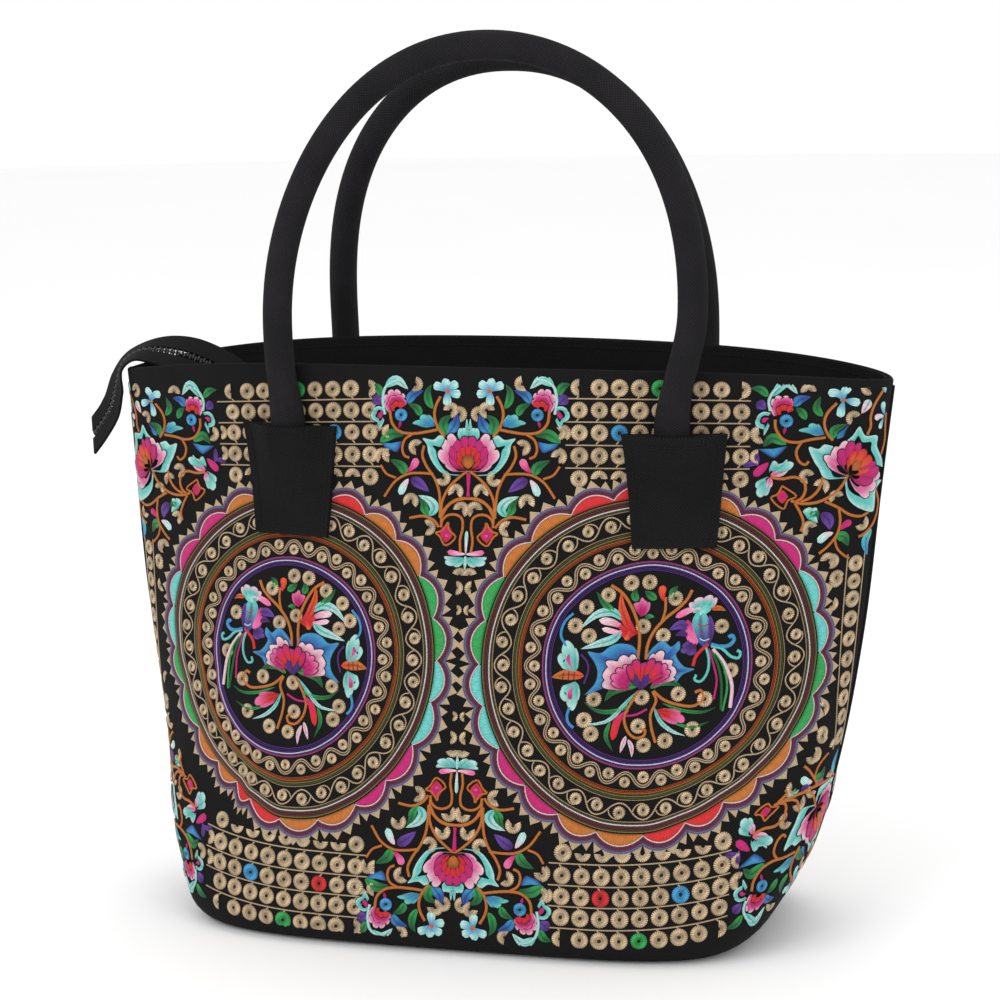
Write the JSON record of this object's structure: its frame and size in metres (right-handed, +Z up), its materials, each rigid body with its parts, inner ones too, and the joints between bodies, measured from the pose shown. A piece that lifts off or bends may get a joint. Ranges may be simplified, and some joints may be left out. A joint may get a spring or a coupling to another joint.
{
  "type": "shopper bag",
  "caption": "Soft canvas shopper bag that stands open, with rolled handles, stitched tabs and a zip whose end hangs over the rim.",
  "frame": {"origin": "middle of the base's flat underside, halfway between the two faces", "axes": "+X to the right along the mouth as seen from the front, +Y from the front face to the back, +Z up through the handles"},
  "size_m": [0.4382, 0.166, 0.4675],
  "materials": {
    "canvas": "black cotton canvas, plain weave",
    "embroidered_canvas": "black canvas covered in satin stitch embroidery",
    "facing": "black canvas, turned in and topstitched",
    "handle_roll": "black canvas sewn round a cord core",
    "zip_tape": "black woven zip tape",
    "zip_teeth": "black moulded teeth",
    "zip_slider": "black enamel on metal"
  },
  "bodies": {
    "root": {"base_panel": "canvas", "front_panel": "embroidered_canvas", "back_panel": "embroidered_canvas", "front_facing": "facing", "back_facing": "facing", "front_handle": "handle_roll", "back_handle": "handle_roll", "front_left_tab": "canvas", "front_right_tab": "canvas", "back_left_tab": "canvas", "back_right_tab": "canvas", "zip_tape_front": "zip_tape", "zip_tape_back": "zip_tape", "zip_teeth_front": "zip_teeth", "zip_teeth_back": "zip_teeth", "zip_chain": "zip_teeth", "zip_slider": "zip_slider"}
  },
  "joints": []
}
